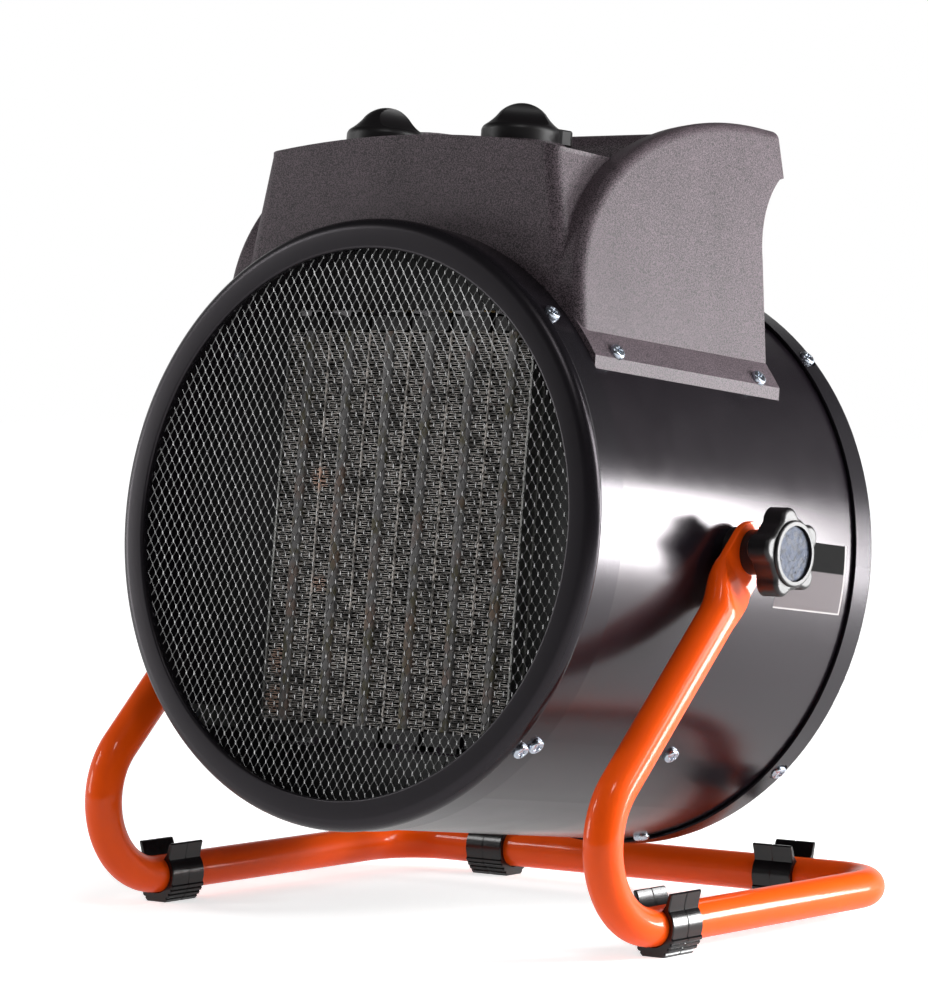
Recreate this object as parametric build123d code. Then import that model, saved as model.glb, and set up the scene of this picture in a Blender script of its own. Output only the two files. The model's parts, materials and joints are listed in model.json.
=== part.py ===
"""Drum-shaped ceramic fan heater on a bent-tube floor stand.

Two frames are used. The drum frame has its origin at the middle of the drum's front face,
+X to the object's right, +Y along the drum's axis to the back and +Z up. The stand frame has
its origin on the floor under the tilt pivot. The heater is built in the drum frame and then
hung in the stand with its nose raised. Millimetres and degrees throughout.
"""
from build123d import *
import os
from math import cos, sin, asin, radians, degrees, hypot, sqrt

os.makedirs("parts", exist_ok=True)

# ---- drum ----
ring_radius = 150.0        # widest point of the front and rear rings
outlet_radius = 134.7      # clear radius inside the front ring's rolled lip
drum_length = 238.8
shell_radius = 148.0       # outside of the rolled sheet
sheet = 1.0
ring_band = 25.0           # how far the front ring laps over the shell
ring_skin = 1.2
rear_band = 17.0
shell_setback = 5.5        # the sheet stops this far inside the rings' faces
wire_hole_radius = 17.0
nose_up = 6.7              # tilt of the drum in the stand at rest

# ---- stand ----
tube_radius = 9.5
tube_wall = 1.5
stand_half_width = 159.2   # centreline of the side rails
rail_height = 14.45        # rail centreline above the floor
pivot_height = 188.2       # tilt pivot above the floor
pivot_y = drum_length / 2  # the pivot is half way along the drum
back_reach = 119.3         # back bar centreline behind the pivot
arm_slope = 0.954          # drop of the arm per millimetre forward
arm_bend = 40.0
corner_bend = 30.0
lug_radius = 15.0
lug_thickness = 4.0
lug_face = 157.7           # outer face of the flattened arm end
foot_length = 24.0
foot_wall = 3.0
front_foot_y = -71.4       # middle of the front feet, from the pivot
rear_foot_x = 94.5

# ---- clamping knobs ----
stud_radius = 4.0
bore_gap = 0.05            # radial play of a shaft in its bearing
star_lobes = 5
star_radius = 22.5
star_thickness = 14.0
star_face = 183.4          # outer face of the knob, from the centre plane
hub_radius = 11.0

# ---- heating element ----
element_front = 37.5
element_depth = 26.0
element_half_height = 98.5
baffle_front = element_front + 9.0
module = 26.0              # one ceramic bar with its two fin stacks
modules = 6
bar_width = 6.6
fin_wall = 0.5
fin_folds = 13
plate_wall = 0.8

# ---- fan and motor ----
fan_blades = 5
fan_radius = 119.0
fan_hub = 24.0
fan_front = 98.0
motor_radius = 42.0
bracket_front = 137.0
bracket_wall = 2.5
motor_front = bracket_front + bracket_wall
motor_length = 62.0
shaft_radius = 4.0
motor_screw_radius = 22.0
motor_screw_angles = (0, 90, 180, 270)
bracket_angle = 43.0       # lower feet, below the horizontal
bracket_rise = 48.0        # upper feet, above it and hidden under the cheeks

# ---- control housing, drum frame ----
box_front = 25.5
box_back = 130.0
box_top_half = 91.5
box_slope = 0.18           # outward flare of the side walls per millimetre down
lid_edge = 187.2           # height of the lid's top at its side edges
lid_crown = 194.2          # and in the middle
lid_wall = 2.0
wall = 2.8
box_corner = 7.0           # rounding of the box's front corners
cheek_inner = 91.0
cheek_base_x = 115.5       # outer face of a cheek at cheek_base_z
cheek_base_z = 97.0
cheek_flare = 6.84         # lean of the outer face, degrees
cheek_front = 26.0
cheek_back = 180.0
dome_center_y = 186.0
dome_center_z = 119.5
dome_rise = 101.0
dome_round = 5.5
top_back = 200.8           # rear end of the cheeks' flat top
top_corner = 4.5
lip_y = 204.9              # rearmost point of the lip under it
lip_z = 197.0
lip_depth = 7.5            # the lip's underside, front to back
bar_front = 164.0          # grip bar between the cheeks
bar_low = 198.0
bar_top = 215.2
bar_round = 9.0
flange_radius = 151.5
flange_back = 180.0
flange_edge = 124.8        # the flange is trimmed upright at this distance from the middle
flange_high = 45.0         # angle up to which it runs under the cheek

# ---- top knobs ----
knob_x = 43.4
knob_y = 60.0
knob_radius = 20.0
knob_height = 20.2
spindle_radius = 3.0

# ---- terminals and cable entry ----
terminal_front = 94.0
gland_x = -58.0
gland_z = 162.0
gland_thread = 8.0
cable_radius = 4.5

# ---- screws ----
screw_head = 4.2
screw_head_height = 2.6
screw_shank = 2.0

to_x = Rot(Y=90)           # turns a piece built along +Z so that it lies along +X
to_y = Rot(X=-90)          # and along +Y


def rod(radius, length, low=0.0):
    """A round bar along +Z from low to low + length."""
    return Pos(0, 0, low) * Cylinder(radius, length, align=(Align.CENTER, Align.CENTER, Align.MIN))


def rod_y(radius, y0, y1):
    return Pos(0, y0, 0) * to_y * rod(radius, y1 - y0)


def rod_x(radius, x0, x1):
    return Pos(x0, 0, 0) * to_x * rod(radius, x1 - x0)


def block(x0, x1, y0, y1, z0, z1):
    return Pos((x0 + x1) / 2, (y0 + y1) / 2, (z0 + z1) / 2) * Box(x1 - x0, y1 - y0, z1 - z0)


def turned(points):
    """A solid of revolution about the drum's axis from (radius, y) points."""
    return revolve(make_face(Polyline(*points, close=True)), Axis.Y)


def around(angle, piece):
    """Turn a piece built at the +X side round the drum's axis, up towards +Z."""
    return Rot(Y=-angle) * piece


def both_sides(piece):
    return [piece, mirror(piece, about=Plane.YZ)]


def group(pieces):
    return Compound(children=list(pieces))


# ---- screws ----

def pan_screw(length):
    """Pan-head screw standing on z = 0 with its shank below."""
    head = rod(screw_head, screw_head_height)
    head = fillet(head.edges().sort_by(Axis.Z)[-1], 1.6)
    return head + rod(screw_shank, length, -length)


ring_spots = [(angle, 12.0) for angle in (44, 136, -44, -136)]
duct_spots = [(angle, 20.0) for angle in (-42.5, -137.5)]
bracket_spots = [(angle, 132.0) for angle in (bracket_rise, 180 - bracket_rise,
                                              -bracket_angle, bracket_angle - 180)]
brace_spots = [(angle, 215.0) for angle in (-77, -103)]
rear_spots = [(angle, drum_length - 9.0) for angle in (45, 135, -45, -135)]
flange_spots = [(angle, y) for angle in (35.9, 144.1) for y in (45.0, 163.5)]


def screws(spots, seat, length=7.0):
    screw = to_x * pan_screw(length)
    return group(around(angle, Pos(seat, y, 0) * screw) for angle, y in spots)


def screw_holes(spots, depth=14.0):
    drill = rod_x(screw_shank + bore_gap, shell_radius - depth / 2, shell_radius + depth / 2)
    return [around(angle, Pos(0, y, 0) * drill) for angle, y in spots]


# ---- drum ----

def drum_shell():
    inner = shell_radius - sheet
    y0, y1 = shell_setback, drum_length - shell_setback
    shell = around(-60, turned([(inner, y0), (shell_radius, y0), (shell_radius, y1), (inner, y1)]))
    pivot_hole = Pos(0, pivot_y, 0) * rod_x(stud_radius + 0.5, 130.0, ring_radius + 5)
    wire_hole = Pos(0, knob_y, 130.0) * rod(wire_hole_radius, 30.0)
    holes = screw_holes(ring_spots + duct_spots + bracket_spots + brace_spots + rear_spots + flange_spots)
    for tool in [*both_sides(pivot_hole), wire_hole, *holes]:
        shell = shell - tool
    return shell


def rolled_ring(band, bead, over):
    """Spun ring: rolled lip, flat face, rounded bead and a band over the shell."""
    lip = outlet_radius
    face = 144.0
    skin = ring_skin
    outside = [Line((lip, 4.0), (lip, 1.2)),
               ThreePointArc((lip, 1.2), (lip + 0.4, 0.4), (lip + 1.4, 0.0)),
               Line((lip + 1.4, 0.0), (face, 0.0)),
               ThreePointArc((face, 0.0), (148.3, 0.29 * bead), (ring_radius, bead)),
               Line((ring_radius, bead), (over + skin, bead + 1.6)),
               Line((over + skin, bead + 1.6), (over + skin, band)),
               Line((over + skin, band), (over, band)),
               Line((over, band), (over, bead)),
               ThreePointArc((over, bead), (147.0, skin + 0.3 * (bead - skin)), (face, skin)),
               Line((face, skin), (lip + skin, skin)),
               Line((lip + skin, skin), (lip + skin, 4.0)),
               Line((lip + skin, 4.0), (lip, 4.0))]
    return revolve(make_face(outside), Axis.Y)


def front_ring():
    return rolled_ring(ring_band, 6.0, shell_radius + 0.1) - screw_holes(ring_spots + duct_spots)


def rear_ring():
    """Ring that stands a little off the shell, pressed down to it at each screw."""
    band = rolled_ring(rear_band, 3.6, ring_radius - ring_skin)
    ring = Pos(0, drum_length, 0) * mirror(band, about=Plane.XZ)
    seat = shell_radius + 0.05
    for angle, y in rear_spots:
        pocket = Pos(0, y, 0) * rod_x(5.2, 140, 160)
        floor = turned([(seat, y - 8), (seat + ring_skin, y - 8), (seat + ring_skin, y + 8), (seat, y + 8)]) & pocket
        drill = Pos(0, y, 0) * rod_x(screw_shank + bore_gap, 140, 160)
        ring = ring - around(angle, pocket) + around(angle, floor - drill)
    return ring


def front_mesh():
    """Diamond net punched from one sheet, finer in one direction."""
    pitch_x, pitch_z = 9.0, 13.0
    half_x, half_z = 7.9, 11.4
    wires = []
    for i in range(-16, 17):
        for j in range(-11, 12):
            x, z = i * pitch_x, j * pitch_z
            if (i + j) % 2 == 0 and hypot(abs(x) + half_x * 0.4, abs(z) + half_z * 0.8) < outlet_radius - 1.5:
                wires.append(Polyline((x - half_x, z), (x, z - half_z), (x + half_x, z), (x, z + half_z), close=True))
    rim = Wire.make_circle(shell_radius - sheet - 0.3)
    face = Face(rim, [Wire(w.edges()) for w in wires])
    return Pos(0, 5.0, 0) * Rot(X=90) * extrude(face, 1.0)


def rear_guard():
    """Concentric wires on spokes, clamped under the rear ring's lip."""
    wire = 1.5
    y = drum_length - 5.6
    rings = [revolve(Pos(radius, y, 0) * RegularPolygon(wire, 6), Axis.Y)
             for radius in (28.0, 49.0, 70.0, 91.0, 112.0, 133.0)]
    seat = drum_length - 4.0                      # end of the ring's rolled lip
    rim = turned([(135.0, seat - 2.0), (142.0, seat - 2.0), (142.0, seat), (135.0, seat)])
    spokes = []
    for angle in range(0, 360, 60):
        spoke = Pos(0, y - wire, 0) * rod_x(wire, 26.0, 140.0)
        spokes.append(around(angle + 30, spoke))
    badge = turned([(0.0, y - 1.0), (27.5, y - 1.0), (28.5, y), (27.5, y + 1.0), (0.0, y + 1.0)])
    return rings[0] + rings[1:] + [rim, badge] + spokes


# ---- heating element ----

def bar_positions():
    return [(i - (modules - 1) / 2) * module for i in range(modules)]


def element_bars():
    y0, y1 = element_front, element_front + element_depth
    return group(block(x - bar_width / 2, x + bar_width / 2, y0, y1, -element_half_height, element_half_height)
                 for x in bar_positions())


def fin_stack(x0, x1):
    """One ribbon of sheet folded to and fro between a bar and a plate."""
    fold = 2 * element_half_height / (2 * fin_folds)
    left, right = [], []
    for k in range(2 * fin_folds + 1):
        z = -element_half_height + k * fold
        x = x0 if k % 2 == 0 else x1 - fin_wall
        left.append((x, z))
        right.append((x + fin_wall, z))
    profile = make_face(Polyline(*left, *reversed(right), close=True))
    return Pos(0, element_front + element_depth - 2.0, 0) * Rot(X=90) * extrude(profile, element_depth - 4.0)


def element_fins():
    stacks = []
    for x in bar_positions():
        stacks.append(fin_stack(x - module / 2 + plate_wall / 2, x - bar_width / 2))
        stacks.append(fin_stack(x + bar_width / 2, x + module / 2 - plate_wall / 2))
    return group(stacks)


def fin_plates():
    y0, y1 = element_front + 1.0, element_front + element_depth - 1.0
    spots = [(i - modules / 2) * module for i in range(1, modules)]
    return group(block(x - plate_wall / 2, x + plate_wall / 2, y0, y1, -element_half_height, element_half_height)
                 for x in spots)


def element_side(sign):
    """Pressed channel that closes the block at one side."""
    inner = modules * module / 2 - plate_wall / 2
    x0, x1 = sorted((sign * inner, sign * (inner + 1.2)))
    web = block(x0, x1, element_front, element_front + element_depth, -element_half_height, element_half_height)
    x2, x3 = sorted((sign * (inner + 1.2), sign * (inner + 6.0)))
    back = baffle_front + sheet
    return web + block(x2, x3, back, back + 1.2, -element_half_height + 6, element_half_height - 6)


def element_rail(sign):
    """Heat-proof end holder with a lug at every bar."""
    half = modules * module / 2 + 1.6
    z0, z1 = sorted((sign * element_half_height, sign * (element_half_height + 7.0)))
    rail = block(-half, half, element_front, element_front + element_depth, z0, z1)
    z2, z3 = sorted((sign * (element_half_height + 3.0), sign * (element_half_height + 10.0)))
    bumps = [block(x - 5, x + 5, element_front + 6, element_front + element_depth - 6, z2, z3)
             for x in bar_positions()]
    slot = [block(x - module / 2 - 1.5, x - module / 2 + 1.5, element_front - 1, element_front + 2.5, z0, z1)
            for x in bar_positions()[1:]]
    return rail + bumps - slot


def element_terminals():
    y = element_front + element_depth / 2
    z = element_half_height + 10.0
    return group(block(x - 3.2, x + 3.2, y - 0.4, y + 0.4, z, z + 11.0) - Pos(x, y, z + 8.0) * rod_y(1.0, -1, 1)
                 for x in bar_positions())


def element_baffle():
    """Sheet that closes the drum round the block, with a turned-back edge."""
    y = baffle_front
    outer = shell_radius - sheet - 0.1
    rim = outer - sheet
    plate = turned([(0, y), (outer, y), (outer, y + 10.0), (rim, y + 10.0), (rim, y + sheet), (0, y + sheet)])
    half_x = modules * module / 2 + 2.0
    half_z = element_half_height + 11.0
    window = block(-half_x, half_x, y - 20, y + 20, -half_z, half_z)
    wire_notch = block(-wire_hole_radius, wire_hole_radius, y + 2.0, y + 12.0, 135.0, 150.0)
    return plate - window - wire_notch


def element_brackets():
    """Bent straps from the baffle's tie points forward to the drum wall."""
    pieces = []
    y = 20.0
    outer = shell_radius - sheet
    for angle, _ in duct_spots:
        strap = turned([(outer - 1.6, y - 6), (outer, y - 6), (outer, baffle_front), (outer - 1.6, baffle_front)])
        wedge = block(0, outer + 5, 0, 60, -7, 7)
        pieces.append(around(angle, strap & wedge) - screw_holes([(angle, y)]))
    return group(pieces)


def thermal_cutout():
    """Round can with two tabs, screwed flat to the back of the baffle."""
    y = baffle_front + sheet
    can = rod_y(8.0, y, y + 6.0) + block(-12.5, 12.5, y, y + 1.0, -4, 4)
    tabs = [block(x - 3, x + 3, y + 6.0, y + 13.0, -0.4, 0.4) for x in (-4.5, 4.5)]
    return Pos(52.0, 0, 122.0) * (can + tabs)


# ---- fan and motor ----

def motor_body():
    y0, y1 = motor_front, motor_front + motor_length
    can = rod_y(motor_radius, y0, y1)
    can = fillet(can.edges().filter_by(GeomType.CIRCLE), 5.0)
    slots = [around(a, block(24, 34, y1 - 3, y1 + 1, -2.2, 2.2)) for a in range(0, 360, 45)]
    nose = rod_y(11.0, motor_front - 5.0, y0) + rod_y(13.0, y1, y1 + 7.0)
    bore = rod_y(shaft_radius + bore_gap, motor_front - 6.0, y1 + 3.0)
    return can + nose - slots - bore


def motor_bands():
    """Laminated stack that shows as a band round the motor."""
    y = motor_front + motor_length / 2
    return turned([(motor_radius, y - 13), (motor_radius + 3, y - 13), (motor_radius + 3, y + 13), (motor_radius, y + 13)])


def motor_bracket():
    y0, y1 = bracket_front, bracket_front + bracket_wall
    plate = rod_y(motor_radius + 4, y0, y1) - rod_y(11.3, y0 - 1, y1 + 1)
    outer = shell_radius - sheet
    arms = []
    for angle, y in bracket_spots:
        arm = block(motor_radius - 4, outer - 1, y0, y1, -8, 8)
        foot = turned([(outer - 2.0, y - 6.5), (outer, y - 6.5), (outer, y1), (outer - 2.0, y1)]) & block(0, outer + 5, 0, 200, -8, 8)
        arms.append(around(angle, arm + foot))
    bracket = plate + arms
    motor_holes = [around(a, Pos(motor_screw_radius, 0, 0) * rod_y(screw_shank + bore_gap, y0 - 1, y1 + 1))
                   for a in motor_screw_angles]
    for tool in [*screw_holes(bracket_spots), *motor_holes]:
        bracket = bracket - tool
    return bracket


def motor_screws():
    screw = Pos(motor_screw_radius, bracket_front, 0) * Rot(X=90) * pan_screw(2.0)
    return group(around(a, screw) for a in motor_screw_angles)


def motor_shaft():
    return rod_y(shaft_radius, fan_front - 6.0, motor_front + motor_length + 2.0)


def blade_section(radius, chord, pitch):
    """A cambered strip across the blade, square to its span."""
    half = chord / 2
    camber = chord * 0.09
    skin = 1.6
    curve = [ThreePointArc((-half, 0), (0, camber), (half, 0)),
             Line((half, 0), (half, -skin)),
             ThreePointArc((half, -skin), (0, camber - skin), (-half, -skin)),
             Line((-half, -skin), (-half, 0))]
    face = make_face(curve)
    return Plane(origin=(radius, fan_front + 14.0, 0), x_dir=(0, sin(radians(pitch)), cos(radians(pitch))), z_dir=(1, 0, 0)) * face


def fan_impeller():
    hub = turned([(shaft_radius, fan_front), (fan_hub - 3, fan_front), (fan_hub, fan_front + 3),
                  (fan_hub, fan_front + 26), (fan_hub - 2.5, fan_front + 26), (fan_hub - 2.5, fan_front + 5),
                  (9.0, fan_front + 5), (9.0, fan_front + 22), (shaft_radius, fan_front + 22)])
    blade = loft([blade_section(fan_hub - 1.0, 36, 40), blade_section(70, 58, 29), blade_section(fan_radius + 3, 70, 20)])
    tip = rod_y(fan_radius, fan_front - 30, fan_front + 60)
    blade = blade & tip
    return hub + [around(i * 360 / fan_blades, blade) for i in range(fan_blades)]


def impeller_nut():
    nut = extrude(RegularPolygon(7.5, 6), 5.0) + rod(8.5, 1.0)
    nut = nut - rod(shaft_radius, 5.0)
    return Pos(0, fan_front, 0) * Rot(X=90) * nut


# ---- control housing ----

crown_radius = (box_top_half ** 2 + (lid_crown - lid_edge) ** 2) / (2 * (lid_crown - lid_edge))


def lid_height(x):
    """Height of the crowned lid's top at a distance x from the middle."""
    return lid_crown - crown_radius + sqrt(crown_radius ** 2 - x ** 2)


def arch(half, drop):
    """The lid's crown line, lowered by drop."""
    side = lid_height(half) - drop
    return ThreePointArc((-half, side), (0, lid_crown - drop), (half, side))


def front_view_face(inset, drop):
    """Front view of the box: flared walls under a crowned top."""
    low = 60.0
    half_top = box_top_half - inset
    half_low = half_top + (lid_edge - low) * box_slope
    side = lid_height(half_top) - drop
    outline = [Line((-half_low, low), (-half_top, side)),
               arch(half_top, drop),
               Line((half_top, side), (half_low, low)),
               Line((half_low, low), (-half_low, low))]
    return make_face(outline)


def along_y(face, y0, y1):
    """Stand a face drawn in (x, z) upright and give it depth from y0 to y1."""
    return Pos(0, y1, 0) * Rot(X=90) * extrude(face, y1 - y0)


def cheek_plane():
    lean = radians(cheek_flare)
    return Plane(origin=(cheek_base_x, 0, cheek_base_z), x_dir=(0, 1, 0), z_dir=(cos(lean), 0, sin(lean)))


def rounded(face, height, depth, radius):
    """Round the corner of a side view at this height that lies nearest to a given depth."""
    corners = [v for v in face.vertices() if abs(v.Y - height) < 0.01]
    return fillet(min(corners, key=lambda v: abs(v.X - depth)), radius)


def cheek_outline(inset):
    """Side view of a cheek: upright front, long dome, rear lip and finger scoop."""
    low = -40.0
    front = cheek_front + inset
    back = cheek_back - inset
    dome = dome_center_z - cheek_base_z
    top = dome + dome_rise - inset
    lip_back, lip_front = lip_y - inset, lip_y - lip_depth - inset
    lip_low = lip_z - cheek_base_z + inset
    face = make_face([Line((front, low), (front, dome)),
                      EllipticalCenterArc((dome_center_y, dome), dome_center_y - front, dome_rise - inset,
                                          start_angle=90, arc_size=90),
                      Line((dome_center_y, top), (top_back - inset, top)),
                      Line((top_back - inset, top), (lip_back, lip_low)),
                      Line((lip_back, lip_low), (lip_front, lip_low - 2.3)),
                      ThreePointArc((lip_front, lip_low - 2.3), (back + 6.5, 84.0), (back, 54.0)),
                      Line((back, 54.0), (back, low)),
                      Line((back, low), (front, low))])
    return rounded(face, top, top_back, top_corner)


def cheek(inset=0.0):
    """One cheek at the +X side, from its flared outer face in to cheek_inner."""
    slab = cheek_plane() * Pos(0, 0, -inset) * extrude(cheek_outline(inset), -60.0)
    if inset == 0.0:
        rim = slab.faces().sort_by(Axis.X)[-1].edges()
        front_edge = rim.filter_by(lambda e: e.center().Y < 40)
        dome_edge = rim.filter_by(lambda e: e.geom_type == GeomType.ELLIPSE)
        top_edge = rim.filter_by(lambda e: e.center().Z > 210 and dome_center_y < e.center().Y < top_back - 2)
        slab = fillet(front_edge + dome_edge + top_edge, dome_round)
    return slab & block(cheek_inner + inset, 140, 0, 220, 40, 240)


def flange():
    """Screw flange that follows the drum below a cheek."""
    y0, y1 = ring_band + 1.0, flange_back
    inner = shell_radius + 0.05
    section = make_face(Polyline((inner, y0), (flange_radius, y0), (flange_radius, y1), (inner, y1), close=True))
    strip = around(flange_high, revolve(section, Axis.Y, 15.0))
    return strip & block(90.0, flange_edge, 0, 200, 60, 120)


def round_front_corners(body):
    """Round the upright corners at the front of the box or its lid."""
    corners = body.faces().sort_by(Axis.Y)[0].edges().filter_by(lambda e: abs(e.tangent_at(0.5).Z) > 0.8)
    return fillet(corners, box_corner)


def box_body():
    return round_front_corners(along_y(front_view_face(0.0, lid_wall), box_front, box_back))


def control_housing():
    """Saddle moulding: box, two domed cheeks and their screw flanges in one shell."""
    drum = rod_y(shell_radius + 0.05, 0, 240)
    outer = box_body() + both_sides(cheek())
    hollow = along_y(front_view_face(wall, lid_wall - 1.0), box_front + wall, box_back - wall)
    hollow = hollow + both_sides(cheek(wall))
    housing = outer - hollow + both_sides(flange()) - drum
    gland_hole = Pos(gland_x, 0, gland_z) * rod_y(gland_thread, box_back - 10, box_back + 10)
    for tool in [gland_hole, *screw_holes(flange_spots)]:
        housing = housing - tool
    return housing


def handle_profile(inset):
    """Section of the grip bar, its back matching the cheeks' lip."""
    front, low, top = bar_front + inset, bar_low + inset, bar_top - inset
    face = make_face(Polyline((front, low), (front, top), (top_back - inset, top), (lip_y - inset, lip_z + inset),
                              (lip_y - lip_depth - inset, lip_z - 2.3 + inset), close=True))
    return rounded(rounded(face, top, top_back, top_corner), top, front, bar_round)


def carry_handle():
    """Hollow grip bar across the top between the cheeks."""
    stand_up = Plane(origin=(-cheek_inner, 0, 0), x_dir=(0, 1, 0), z_dir=(1, 0, 0))
    length = 2 * cheek_inner
    bar = stand_up * extrude(handle_profile(0.0), length)
    core = stand_up * extrude(handle_profile(3.0), length)
    return bar - core


knob_seat = lid_height(knob_x) + 1.0
switch_top = knob_seat - 6.5


def control_panel():
    """Crowned lid flush with the box's walls and notched round the cheeks."""
    half = box_top_half
    side = lid_height(half)
    outline = [arch(half, 0.0),
               Line((half, side), (half, side - lid_wall)),
               arch(half, lid_wall),
               Line((-half, side - lid_wall), (-half, side))]
    lid = round_front_corners(along_y(make_face(outline), box_front, box_back))
    seats = [Pos(s * knob_x, knob_y, lid_height(knob_x) - 2.0) * rod(knob_radius + 2.5, 3.0) for s in (-1, 1)]
    bosses = [Pos(s * knob_x, knob_y, switch_top) * rod(9.0, lid_height(knob_x) - 1.0 - switch_top) for s in (-1, 1)]
    holes = [Pos(s * knob_x, knob_y, 150) * rod(spindle_radius + 0.6, 60) for s in (-1, 1)]
    return lid + seats + bosses - both_sides(cheek()) - holes


# ---- top knobs ----

def grip_knob():
    """Bell-shaped knob with a finger scoop each side and a short tail."""
    low = 0.4                                     # running gap over the seat
    skirt = 5.6
    neck, neck_z = 11.6, 15.0                     # where the flare meets the domed top
    rise = knob_height - neck_z
    dome = (neck ** 2 + rise ** 2) / (2 * rise)
    spread = degrees(asin(neck / dome))
    bell = [Line((0, low), (knob_radius, low)),
            Line((knob_radius, low), (knob_radius, skirt)),
            ThreePointArc((knob_radius, skirt), (19.4, 7.2), (18.2, 8.4)),
            ThreePointArc((18.2, 8.4), (14.6, 11.4), (neck, neck_z)),
            CenterArc((0, knob_height - dome), dome, 90 - spread, spread),
            Line((0, knob_height), (0, low))]
    knob = Rot(Z=90) * revolve(Plane.XZ * make_face(bell), Axis.Z)
    scoop_radius = 12.0
    ridge = 4.6
    skirt_top = 8.1
    for side in (-1, 1):
        knob = knob - Pos(0, side * (ridge + scoop_radius), skirt_top + scoop_radius) * rod_x(scoop_radius, -40, 40)
    tail_top = 7.8
    plan = make_face(Polyline((0, -15), (20, -7.5), (25, -4), (25, 4), (20, 7.5), (0, 15), close=True))
    tail = Pos(0, 0, low) * extrude(plan, tail_top - low)
    tail = fillet(tail.edges().filter_by(Axis.Z).sort_by(Axis.X)[-2:], 2.5)
    knob = knob + tail
    tail_rim = [edge for edge in knob.edges() if edge.center().X > 20.3 and abs(edge.center().Z - tail_top) < 0.01]
    return fillet(tail_rim, 1.2) - rod(spindle_radius, 12.0)


def top_knob(sign, angle):
    return Pos(sign * knob_x, knob_y, knob_seat) * Rot(Z=angle) * grip_knob()


def spindle(sign):
    shaft = Pos(sign * knob_x, knob_y, knob_seat) * rod(spindle_radius, 12.0 + 16.0, -16.0)
    return shaft


def switch_body(sign, half_x, half_y, height):
    """Control hung from a boss under the lid, with a bearing bore for the spindle."""
    top = switch_top
    body = block(-half_x, half_x, -half_y, half_y, top - height, top)
    body = fillet(body.edges().filter_by(Axis.Z), 3.0)
    tabs = [block(x - 2, x + 2, half_y - 4, half_y - 3.2, top - height - 8, top - height) for x in (-9, 0, 9)]
    bore = rod(spindle_radius + bore_gap, 16.0, knob_seat - 17.0)
    return Pos(sign * knob_x, knob_y, 0) * (body + tabs - bore)


# ---- inside the housing ----

def cable_gland():
    hexagon = Pos(0, 0, box_back + 0.1) * extrude(RegularPolygon(10.5, 6), 5.0)
    cone = Pos(0, 0, box_back + 5.1) * Cone(9.0, 6.5, 12.0, align=(Align.CENTER, Align.CENTER, Align.MIN))
    thread = rod(gland_thread - 0.1, 9.0, box_back - 8.0)
    body = hexagon + cone + thread - rod(cable_radius, 60, box_back - 20)
    return Pos(gland_x, 0, gland_z) * to_y * body


def gland_nut():
    nut = Pos(0, 0, box_back - wall - 4.2) * extrude(RegularPolygon(10.5, 6), 4.0)
    return Pos(gland_x, 0, gland_z) * to_y * (nut - rod(gland_thread, 20, box_back - 15))


def terminal_block():
    """Screw terminal strip standing on the drum by a curved foot."""
    base = 151.0
    body = block(-30, 30, terminal_front, terminal_front + 18, base, base + 12)
    wells = [Pos(x, terminal_front + 9, base + 4) * rod(3.0, 12) for x in range(-24, 25, 12)]
    foot = block(-36, 36, terminal_front + 4, terminal_front + 14, 138, base) - rod_y(shell_radius + 0.02, 0, 240)
    return body - wells + foot


def wire_run(points, radius, bend):
    path = FilletPolyline(*points, radius=bend)
    start = Plane(origin=path @ 0, z_dir=path % 0)
    return sweep(start * Circle(radius), path=path)


def wiring():
    """Leads from the terminal strip through the drum's hole to the ceramic bars."""
    tab_y = element_front + element_depth / 2
    tab_top = element_half_height + 21.0
    runs = []
    for lane, bar in ((-1, 2), (0, 3), (1, 4)):
        leave = 24.0 * lane
        through = 7.0 * lane
        end = bar_positions()[bar]
        runs.append(wire_run([(leave, terminal_front, 157), (leave, terminal_front - 14, 157),
                              (through, 67, 160 - 4 * lane), (through, 64, 138), (end, 57, 131),
                              (end, tab_y, 127), (end, tab_y, tab_top)], 1.6, 3.0))
    return group(runs)


def thermostat_capillary():
    """Copper capillary from the thermostat down to its bulb behind the baffle."""
    start = switch_top - 24.0
    x, y, drop = -knob_x + 6, knob_y - 4, -15.0
    line = wire_run([(x, y, start), (x, y, start - 6), (drop, y, start - 12), (drop, y + 4, 128),
                     (-30, 74, 118), (-40, 74, 118)], 1.0, 2.5)
    bulb = Pos(-82, 74, 118) * rod_x(3.2, 0, 42)
    return line + bulb


# ---- pivot hardware ----

def pivot_nut():
    """Weld nut on a doubling plate, seated in the shell's curve."""
    inside = rod_y(shell_radius - sheet - 0.02, 0, 240)
    plate = turned([(shell_radius - sheet - 2.0, 95), (shell_radius - sheet, 95), (shell_radius - sheet, 144),
                    (shell_radius - sheet - 2.0, 144)]) & block(100, 150, 0, 240, -22, 22)
    boss = Pos(0, pivot_y, 0) * rod_x(9.0, 134.0, 148.0)
    bore = Pos(0, pivot_y, 0) * rod_x(stud_radius + bore_gap, 120.0, 160.0)
    return ((plate + boss) & inside) - bore


def pivot_spacer():
    collar = Pos(0, pivot_y, 0) * rod_x(12.0, 140.0, lug_face - lug_thickness - 0.2)
    collar = collar - rod_y(shell_radius + 0.02, 0, 240)
    return collar - Pos(0, pivot_y, 0) * rod_x(stud_radius + 0.4, 130.0, 170.0)


def star_profile():
    lobe = Circle(6.6)
    outline = Circle(17.8)
    for i in range(star_lobes):
        outline = outline + Rot(Z=104 + i * 360 / star_lobes) * Pos(star_radius - 6.6, 0) * lobe
    inner_corners = outline.vertices()
    return fillet(inner_corners, 5.0)


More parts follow.
